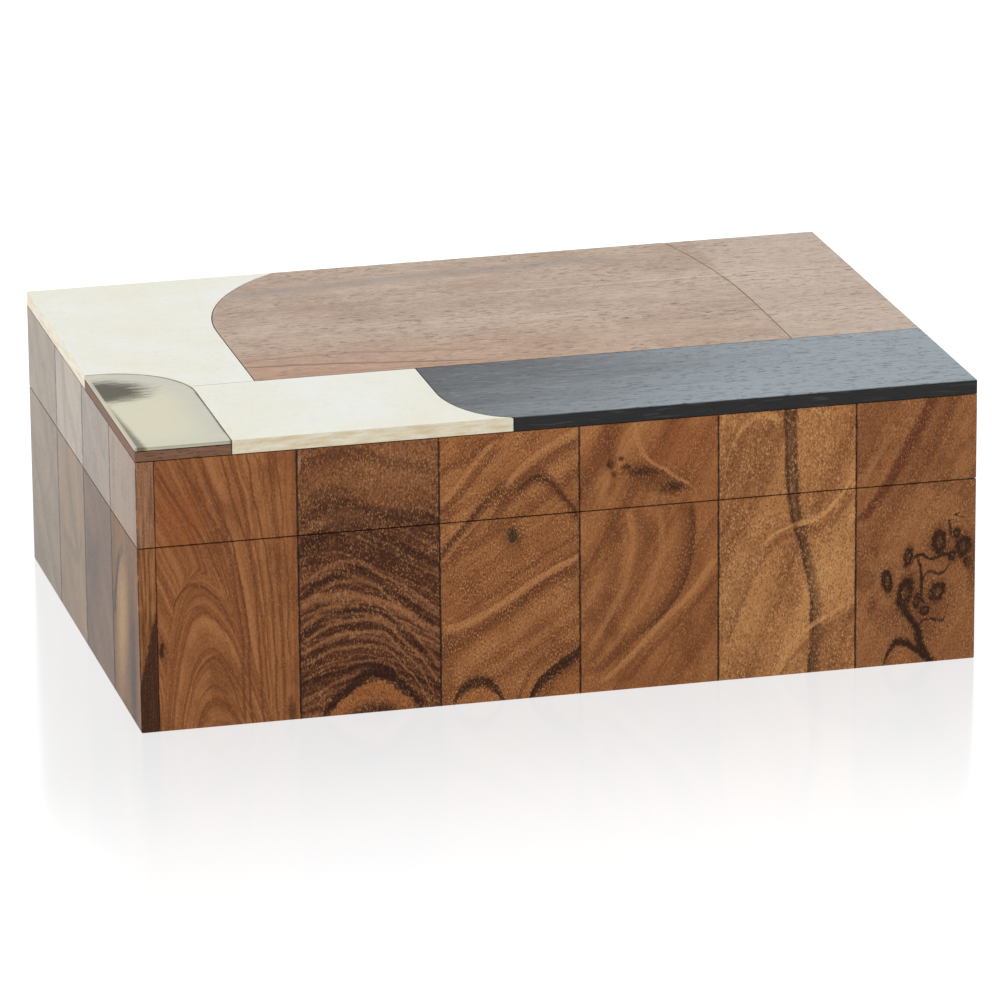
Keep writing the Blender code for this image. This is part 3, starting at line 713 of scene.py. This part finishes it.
def panel_wood():
    """Fine-grained pinkish wood that runs along the lid, with dark pores and a few streaks."""
    surface = Surface("panel_wood", IOR=1.4)
    x, y, z = surface.place
    sway = surface.noise(x * 0.012, y * 0.05, 2.0, 3.0, 0.6)
    across = y + sway * 10.0
    cloud = surface.noise(x * 0.02, across * 0.035, 4.0, 4.0, 0.6)
    band = surface.noise(x * 0.01, across * 0.14, z * 0.1, 4.0, 0.7)
    fibre = surface.noise(x * 0.22, across * 1.9, z * 1.9, 5.0, 0.8)
    mottle = surface.noise(x * 0.55, y * 0.8, z, 3.0, 0.65)
    colour = surface.ramp(cloud * 0.7 + band * 0.3, PANEL_TINTS)
    colour = surface.mix(mottle.smooth(0.5, 0.7, 0.35), colour, (0.47, 0.36, 0.28))
    warm = (y + sway * 24.0 - 12.0).smooth(100.0, 58.0) * x.smooth(240.0, 50.0, 0.85)
    colour = surface.mix(warm, colour, (0.37, 0.178, 0.08))
    colour = surface.mix(fibre.smooth(0.5, 0.34, 0.75), colour, (0.175, 0.092, 0.05))
    colour = surface.mix(fibre.smooth(0.53, 0.68, 0.6), colour, (0.58, 0.44, 0.33))
    for points, tint, strength, below, above in PANEL_LINES:
        offset = (y + sway * 3.0 - 1.5).above(x, points)
        mask = offset.smooth(-below, 0.0) * offset.smooth(above, 0.0, strength)
        mask = mask * x.smooth(points[0][0] - 6.0, points[0][0] + 4.0)
        mask = mask * x.smooth(points[-1][0] + 6.0, points[-1][0] - 8.0)
        colour = surface.mix(mask, colour, tint)
    end_piece = x.smooth(PANEL_JOINT - 0.2, PANEL_JOINT + 0.2, 0.25)
    colour = surface.mix(end_piece, colour, (0.52, 0.42, 0.34))
    crowd = surface.noise(x * 0.02, y * 0.05, 7.0, 2.0, 0.5).smooth(0.35, 0.65)
    pore = surface.noise(x * 0.34, y * 1.5, z * 1.5 + 5.0, 2.0, 0.6).smooth(0.57, 0.67)
    pore = pore * (crowd * 0.6 + 0.45)
    colour = surface.mix(pore, colour, (0.13, 0.065, 0.038))
    # Painted shade: the panel's side faces towards the front and its left end are darkened, as shade in the
    # cracks round it
    glued = surface.facing("Z").smooth(0.75, 0.35) * x.smooth(235.0, 150.0, 0.85) * y.smooth(168.0, 160.0)
    colour = surface.mix(glued, colour, GLUE_AND_SHADE)
    return surface.done(colour, 0.44 + fibre * 0.14, fibre * 0.8 - pore, 0.08)


def ebony():
    """Near-black wood with a painted grey sheen on its top, stronger towards the right, where it would
    catch more light.
    """
    surface = Surface("ebony", IOR=1.36)
    x, y, z = surface.place
    fibre = surface.noise(x * 0.16, y * 1.8, z * 1.8, 5.0, 0.8)
    band = surface.noise(x * 0.01, y * 0.08, z * 0.1, 3.0, 0.6)
    colour = surface.ramp(fibre, [(0.34, (0.003, 0.003, 0.004)), (0.66, (0.013, 0.012, 0.013))])
    top = surface.facing("Z").smooth(0.4, 0.9)
    # Painted sheen: the top faces are greyed, more towards the right, and streaked grey and near-black
    # along the grain
    painted_sheen = (x - y * 1.1 + band * 90.0 - 45.0).smooth(40.0, 190.0, 0.85)
    colour = surface.mix(painted_sheen * top, colour, (0.24, 0.275, 0.295))
    colour = surface.mix(fibre.smooth(0.52, 0.66, 0.75) * top, colour, (0.2, 0.22, 0.23))
    colour = surface.mix(fibre.smooth(0.48, 0.34, 0.9) * top, colour, (0.02, 0.022, 0.025))
    pore = surface.noise(x * 0.3, y * 1.5, z * 1.5 + 4.0, 2.0, 0.6).smooth(0.6, 0.68)
    dash = surface.noise(x * 0.1, z * 1.3, y * 0.5, 2.0, 0.5).smooth(0.56, 0.68, 0.4)
    colour = surface.mix(dash * (1.0 - top), colour, (0.075, 0.06, 0.052))
    colour = surface.mix(pore * 0.8, colour, (0.003, 0.003, 0.003))
    return surface.done(colour, 0.36 + fibre * 0.16, fibre * 0.8 - pore, 0.07)


def bone():
    """Polished bone: cream with clouds of yellow, yellower where its edge was sawn."""
    surface = Surface("bone", IOR=1.42, Subsurface_Weight=0.08, Subsurface_Scale=0.001)
    x, y, z = surface.place
    cloud = surface.noise(x * 0.022, y * 0.022, z * 0.1, 3.0, 0.6)
    streaks = surface.noise(x * 0.06, y * 0.8, z * 0.8, 4.0, 0.7)
    colour = surface.ramp(cloud, [(0.42, (0.655, 0.64, 0.575)), (0.64, (0.64, 0.605, 0.48))])
    colour = surface.mix(streaks.smooth(0.52, 0.72, 0.25), colour, (0.64, 0.58, 0.43))
    near_edge = y.least(2 * HALF_DEPTH - y).least(x + 6.0)
    colour = surface.mix((near_edge + cloud * 8.0 - 4.0).smooth(14.0, 0.0, 0.3), colour, (0.66, 0.61, 0.45))
    side = surface.facing("Z").smooth(0.8, 0.4)
    rub = surface.noise(x * 0.1, z * 0.6, y * 0.1, 3.0, 0.6)
    sawn = surface.ramp(rub, [(0.35, (0.66, 0.52, 0.31)), (0.62, (0.8, 0.74, 0.58))])
    colour = surface.mix(side * 0.9, colour, sawn)
    canal = surface.noise(x * 0.5, y * 2.2, z * 2.2, 1.0, 0.5).smooth(0.62, 0.72)
    colour = surface.mix(canal * 0.3, colour, (0.46, 0.37, 0.24))
    return surface.done(colour, 0.3 + streaks * 0.16, streaks * 0.5 - canal, 0.03)


# The brass plate's rounded corner, from the lid's front left corner
ROUND_CENTRE = (3.5, 51.0)
ROUND_RADIUS = 25.0
# Colour of the painted dark reflection on the brass plate, and of the dark line along its rounded edge
DARK_REFLECTION_AND_RIM = (0.04, 0.026, 0.01)


def inlay_brass():
    """Brushed brass with a painted dark reflection where the plate meets the left edge, and a dark line
    along its rounded edge.
    """
    surface = Surface("inlay_brass", IOR=1.12)
    x, y, z = surface.place
    brushed = surface.noise(x * 0.16, y * 3.0, z * 3.0, 5.0, 0.8)
    cloud = surface.noise(x * 0.08, y * 0.09, 1.0, 4.0, 0.65)
    tone = y.smooth(74.0, 44.0) * y.smooth(-14.0, 16.0) * x.smooth(30.0, 15.0)
    colour = surface.mix(tone, (0.41, 0.39, 0.31), (0.5, 0.46, 0.325))
    colour = surface.mix(brushed.smooth(0.5, 0.34, 0.45), colour, (0.33, 0.3, 0.21))
    colour = surface.mix(cloud.smooth(0.48, 0.68, 0.35), colour, (0.5, 0.44, 0.29))
    fleck = surface.noise(x * 0.9, y * 1.6, 3.0, 3.0, 0.7)
    colour = surface.mix(fleck.smooth(0.58, 0.7, 0.35), colour, (0.3, 0.26, 0.17))
    dabs = surface.noise(x * 0.12, y * 1.1, 8.0, 4.0, 0.8)
    # Painted dark reflection: a dark patch where the plate meets the left edge, and a dark strip along that
    # edge
    reach = (x * x * 0.75 + (y - 57.0) * (y - 57.0) * 1.3).sqrt() + dabs * 22.0 - 11.0
    painted_reflection_and_dark_rim = reach.smooth(17.0, 8.0, 0.92).most((x + y * 0.06 + dabs * 3.0 - 1.5).smooth(4.2, 2.2, 0.7))
    across, back = (x - ROUND_CENTRE[0]).most(0.0), (y - ROUND_CENTRE[1]).most(0.0)
    inset = ROUND_RADIUS - (across * across + back * back).sqrt()
    rim = (inset + cloud * 1.2 - 0.6).smooth(0.8, 0.1, 0.8)
    arris = (x - dabs * 0.5).smooth(0.7, 0.2, 0.8)
    painted_reflection_and_dark_rim = painted_reflection_and_dark_rim.most(rim) * (1.0 - arris)
    colour = surface.mix(painted_reflection_and_dark_rim, colour, DARK_REFLECTION_AND_RIM)
    # Where the painted reflection lies, the brass is made non-metallic so that it reflects little
    plug(surface.tree, surface.shader.inputs["Metallic"], 1.0 - painted_reflection_and_dark_rim)
    return surface.done(colour, 0.28 + brushed * 0.18, brushed, 0.012)


def hinge_brass():
    surface = Surface("hinge_brass", Metallic=1.0)
    x, y, z = surface.place
    wear = surface.noise(x * 0.6, y * 0.6, z * 0.6, 4.0, 0.65)
    scratch = surface.noise(x * 0.8, y * 6.0, z * 6.0, 3.0, 0.6)
    colour = surface.ramp(wear, [(0.35, (0.36, 0.24, 0.1)), (0.65, (0.66, 0.49, 0.23))])
    return surface.done(colour, 0.24 + wear * 0.22 + scratch * 0.08, scratch, 0.015)


def board(name, first, second, pore_tint):
    """A plain board of rough or stained wood, with its grain along the box."""
    surface = Surface(name, IOR=1.4)
    x, y, z = surface.place
    fibre = surface.noise(x * 0.12, y * 1.6, z * 1.6, 5.0, 0.75)
    colour = surface.ramp(fibre, [(0.3, first), (0.7, second)])
    pore = surface.noise(x * 0.35, y * 2.2, z * 2.2, 1.0, 0.5).smooth(0.62, 0.7)
    colour = surface.mix(pore * 0.6, colour, pore_tint)
    return surface.done(colour, 0.5 + fibre * 0.2, fibre - pore, 0.12)


def felt():
    """Short dark felt: a cloudy nap with paler fibres on it."""
    surface = Surface("felt", Roughness=0.95, Sheen_Weight=0.5, Sheen_Roughness=0.45)
    x, y, z = surface.place
    cloud = surface.noise(x * 0.06, y * 0.06, z * 0.06, 3.0, 0.6)
    fuzz = surface.noise(x * 3.2, y * 3.2, z * 3.2, 5.0, 0.8)
    hair = surface.noise(x * 1.0, y * 5.0, z * 2.0, 2.0, 0.6, 1.5).smooth(0.6, 0.72)
    colour = surface.ramp(fuzz, [(0.32, (0.02, 0.012, 0.008)), (0.68, (0.056, 0.036, 0.026))])
    colour = surface.mix(cloud.smooth(0.4, 0.7) * 0.35, colour, (0.05, 0.034, 0.026))
    colour = surface.mix(hair * 0.35, colour, (0.11, 0.075, 0.055))
    return surface.done(colour, None, fuzz + hair * 0.5, 0.35)


def filler():
    """Dark glue with wood dust in it, as it shows between the tiles."""
    surface = Surface("joint_filler", IOR=1.4, Roughness=0.7)
    x, y, z = surface.place
    crumb = surface.noise(x * 1.2, y * 1.2, z * 0.5, 4.0, 0.7)
    colour = surface.ramp(
        crumb, [(0.36, (0.01, 0.006, 0.004)), (0.56, (0.035, 0.017, 0.01)), (0.72, (0.2, 0.13, 0.08))]
    )
    return surface.done(colour, None, crumb, 0.2)


def finish_inlay():
    give(panel_wood(), "wood_panel_main", "wood_panel_end")
    give(ebony(), "ebony_strip")
    give(bone(), "bone_panel_back", "bone_panel_front")
    give(inlay_brass(), "brass_corner_plate")
    packing = board("packing_wood", (0.11, 0.045, 0.022), (0.27, 0.13, 0.065), (0.06, 0.025, 0.015))
    give(packing, "brass_packing")
    core = board("core_board", (0.045, 0.026, 0.015), (0.1, 0.058, 0.033), (0.02, 0.012, 0.008))
    give(core, "base_wall_frame", "base_bottom_board", "lid_wall_frame", "lid_top_board")
    hinge = hinge_brass()
    for side in ("left", "right"):
        give(hinge, *(f"{side}_hinge_{part}" for part in ("base_leaf", "lid_leaf", "pin")))
    return hinge


# ---------------------------------------------------------------- small pieces


def new_piece(name, shape, material, body):
    """Makes an object from a bmesh and lets it ride on a body."""
    mesh = bpy.data.meshes.new(name)
    bmesh.ops.recalc_face_normals(shape, faces=shape.faces)
    shape.to_mesh(mesh)
    shape.free()
    mesh.materials.append(material)
    piece = bpy.data.objects.new(name, mesh)
    bpy.context.scene.collection.objects.link(piece)
    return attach(piece, body)


FILLER_RECESS = 0.00022
FILLER_DEPTH = 0.0015
FILLER_SLACK = 0.00001
FILLER_STEP = 0.002


def add_filler_strip(shape, middle, outward, along, width, low, high):
    """One strip of glue between two tiles, with an uneven face set back from theirs."""
    steps = max(2, round((high - low) / FILLER_STEP))
    rows = []
    for step in range(steps + 1):
        height = low + (high - low) * step / steps
        place = Vector((middle.x, middle.y, height))
        dip = FILLER_RECESS * (1.0 + 0.8 * noise.noise(place * 700.0))
        ring = [
            place + along * width / 2 - outward * dip,
            place - along * width / 2 - outward * dip,
            place - along * width / 2 - outward * FILLER_DEPTH,
            place + along * width / 2 - outward * FILLER_DEPTH,
        ]
        rows.append([shape.verts.new(point) for point in ring])
    for first, second in zip(rows, rows[1:]):
        for i in range(4):
            shape.faces.new((first[i], first[i - 1], second[i - 1], second[i]))
    shape.faces.new(rows[0])
    shape.faces.new(rows[-1])


def add_fillers():
    material = filler()
    sides = (
        ("front", 6, "x", Vector((0.0, -1.0, 0.0))),
        ("back", 6, "x", Vector((0.0, 1.0, 0.0))),
        ("left", 4, "y", Vector((-1.0, 0.0, 0.0))),
        ("right", 4, "y", Vector((1.0, 0.0, 0.0))),
    )
    for body in ("base", "lid"):
        shape = bmesh.new()
        for side, count, axis, outward in sides:
            along = Vector((1.0, 0.0, 0.0)) if axis == "x" else Vector((0.0, 1.0, 0.0))
            for number in range(1, count):
                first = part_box(f"{body}_{side}_tile_{number}")
                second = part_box(f"{body}_{side}_tile_{number + 1}")
                start, end = first[1].dot(along), second[0].dot(along)
                face = max(first[0].dot(outward), first[1].dot(outward))
                middle = along * (start + end) / 2 + outward * face
                width = end - start - 2 * FILLER_SLACK
                add_filler_strip(shape, middle, outward, along, width, first[0].z, first[1].z)
        new_piece(f"{body}_joint_filler", shape, material, body)


FELT_COLUMNS, FELT_ROWS = 92, 58


def add_felt():
    """Each lining is one piece of felt, glued down flat, with a soft uneven face and edge."""
    material = felt()
    for body, rests_on, face in (("base", "base_bottom_board", 1), ("lid", "lid_top_board", -1)):
        node = f"{body}_felt_lining"
        low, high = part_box(node)
        columns, rows = FELT_COLUMNS, FELT_ROWS
        glued = low.z if face > 0 else high.z
        thickness = high.z - low.z
        shape = bmesh.new()
        faces = []
        for layer in (0, 1):
            grid = []
            for row in range(rows + 1):
                line = []
                for column in range(columns + 1):
                    x = low.x + (high.x - low.x) * column / columns
                    y = low.y + (high.y - low.y) * row / rows
                    rim = min(column, columns - column, row, rows - row)
                    nap = 0.8 + 0.14 * noise.noise(Vector((x, y, 0.1 * face)) * 260.0)
                    if rim == 0:
                        nap = 0.55 + 0.12 * noise.noise(Vector((x, y, 0.3)) * 500.0)
                    z = glued + face * thickness * nap * layer
                    line.append(shape.verts.new((x, y, z)))
                grid.append(line)
            faces.append(grid)
        for grid in faces:
            for row in range(rows):
                for column in range(columns):
                    a, b = grid[row][column], grid[row][column + 1]
                    c, d = grid[row + 1][column + 1], grid[row + 1][column]
                    shape.faces.new((a, b, c, d))
        under, over = faces
        outline = [(0, c) for c in range(columns)] + [(r, columns) for r in range(rows)]
        outline += [(rows, c) for c in range(columns, 0, -1)] + [(r, 0) for r in range(rows, 0, -1)]
        for (r1, c1), (r2, c2) in zip(outline, outline[1:] + outline[:1]):
            shape.faces.new((under[r1][c1], under[r2][c2], over[r2][c2], over[r1][c1]))
        piece = new_piece(f"{body}_felt", shape, material, body)
        piece.data.shade_smooth()
        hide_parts(node)


SCREW_SPACING = 0.013
SCREW_SETBACK = 0.0102
HEAD_RADIUS = 0.00205
NECK_RADIUS = 0.00105
HEAD_HEIGHT = 0.001
HEAD_SETBACK = 0.00005
SLOT_WIDTH = 0.0005
SLOT_DEPTH = 0.00035
HEAD_STEPS = 28
SLOT_SHRINK = 0.86
# How far a hinge leaf's face is from the middle of the seam
LEAF_FACE = 0.00015


def add_screw(name, place, face, turn, material, body):
    """A countersunk brass screw head with a slot; face is the way its top looks, up or down."""
    shape = bmesh.new()
    bmesh.ops.create_circle(shape, cap_ends=True, radius=HEAD_RADIUS, segments=HEAD_STEPS)
    for side in (-1, 1):
        geometry = shape.verts[:] + shape.edges[:] + shape.faces[:]
        bmesh.ops.bisect_plane(
            shape, geom=geometry, plane_co=(0.0, side * SLOT_WIDTH / 2, 0.0), plane_no=(0.0, 1.0, 0.0)
        )
    floor = min(shape.faces, key=lambda f: abs(f.calc_center_median().y))
    rim = [edge for edge in shape.edges if edge.is_boundary]
    moved = bmesh.ops.extrude_edge_only(shape, edges=rim)["geom"]
    shrink = NECK_RADIUS / HEAD_RADIUS
    for vert in (g for g in moved if isinstance(g, bmesh.types.BMVert)):
        vert.co = (vert.co.x * shrink, vert.co.y * shrink, -HEAD_HEIGHT)
    bottom = [g for g in moved if isinstance(g, bmesh.types.BMEdge)]
    bmesh.ops.contextual_create(shape, geom=bottom)
    sunk = bmesh.ops.extrude_face_region(shape, geom=[floor])["geom"]
    shape.faces.remove(floor)
    for vert in (g for g in sunk if isinstance(g, bmesh.types.BMVert)):
        vert.co.z -= SLOT_DEPTH
        vert.co.x *= SLOT_SHRINK
    piece = new_piece(name, shape, material, body)
    piece.location = place
    piece.rotation_euler = (0.0 if face > 0 else math.pi, 0.0, turn)
    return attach(piece, body)


def add_screws(material):
    for side in ("left", "right"):
        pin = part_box(f"{side}_hinge_pin")
        x, y = (pin[0].x + pin[1].x) / 2, (pin[0].y + pin[1].y) / 2
        for body, face in (("base", 1), ("lid", -1)):
            for number, hole in enumerate((-1, 1), 1):
                z = SEAM - face * (LEAF_FACE + HEAD_SETBACK)
                place = Vector((x + hole * SCREW_SPACING / 2, y - SCREW_SETBACK, z))
                turn = 0.9 * number + (1.7 if body == "lid" else 0.3) + (0.8 if side == "left" else 0.0)
                add_screw(f"{side}_{body}_screw_{number}", place, face, turn, material, body)


# ---------------------------------------------------------------- floor, light and camera

CAMERA_AZIMUTH = math.radians(13.98)
CAMERA_ELEVATION = math.radians(17.63)
CAMERA_ROLL = math.radians(-0.51)
CAMERA_DISTANCE = 2.146
CAMERA_TARGET = Vector((0.0021, -0.0011, 0.0345))
CAMERA_LENS = 253.3


def add_camera():
    camera = bpy.data.cameras.new("camera")
    camera.lens = CAMERA_LENS
    camera.sensor_width = 36.0
    camera.clip_end = 50.0
    holder = bpy.data.objects.new("camera", camera)
    bpy.context.scene.collection.objects.link(holder)
    level = math.cos(CAMERA_ELEVATION)
    forward = Vector((
        math.sin(CAMERA_AZIMUTH) * level,
        math.cos(CAMERA_AZIMUTH) * level,
        -math.sin(CAMERA_ELEVATION),
    ))
    turned = forward.to_track_quat("-Z", "Y").to_matrix().to_4x4()
    rolled = Matrix.Rotation(CAMERA_ROLL, 4, "Z")
    spot_on = Matrix.Translation(CAMERA_TARGET - forward * CAMERA_DISTANCE)
    holder.matrix_world = spot_on @ turned @ rolled
    bpy.context.scene.camera = holder


def add_floor():
    """A glossy white floor that glows like a light table so that it stays white, and glows less near the
    box: a painted shadow.
    """
    surface = Surface("floor_white", Roughness=0.13, IOR=1.5)
    outside = (surface.x - HALF_WIDTH).abs() - HALF_WIDTH
    ahead = (surface.y - HALF_DEPTH).abs() - HALF_DEPTH
    away = outside.most(ahead)
    # Painted shadow: the floor's glow is weaker within 170 mm of the box
    glow_with_painted_shadow = away.smooth(0.0, 170.0)
    plug(surface.tree, surface.shader.inputs["Emission Color"], (1.0, 1.0, 1.0))
    plug(surface.tree, surface.shader.inputs["Emission Strength"], glow_with_painted_shadow * 0.2 + 0.74)
    surface.done((0.08, 0.08, 0.08))
    mesh = bpy.data.meshes.new("floor")
    half = 6.0
    corners = [(-half, -half, 0.0), (half, -half, 0.0), (half, half, 0.0), (-half, half, 0.0)]
    mesh.from_pydata(corners, [], [(0, 1, 2, 3)])
    floor = bpy.data.objects.new("floor", mesh)
    mesh.materials.append(surface.material)
    bpy.context.scene.collection.objects.link(floor)


def add_light():
    """A white studio: bright behind the box, softer above it and dimmer in front."""
    world = bpy.data.worlds.new("studio")
    world.use_nodes = True
    tree = world.node_tree
    background = tree.nodes["Background"]
    background.inputs["Color"].default_value = (0.97, 1.0, 1.03, 1.0)
    back, up = parts(tree, add_node(tree, "TexCoord", {}, "Generated"))[1:]
    strength = back.smooth(-0.6, 0.9, 0.6) + up.smooth(0.2, 0.9, 0.45) + 0.66
    seen = add_node(tree, "LightPath", {}, "Is Camera Ray")
    plug(tree, background.inputs["Strength"], strength.most(seen * 1.2))
    bpy.context.scene.world = world
    bpy.context.scene.view_settings.view_transform = "Standard"


finish_tiles()
add_screws(finish_inlay())
add_fillers()
add_felt()
add_floor()
add_light()
add_camera()
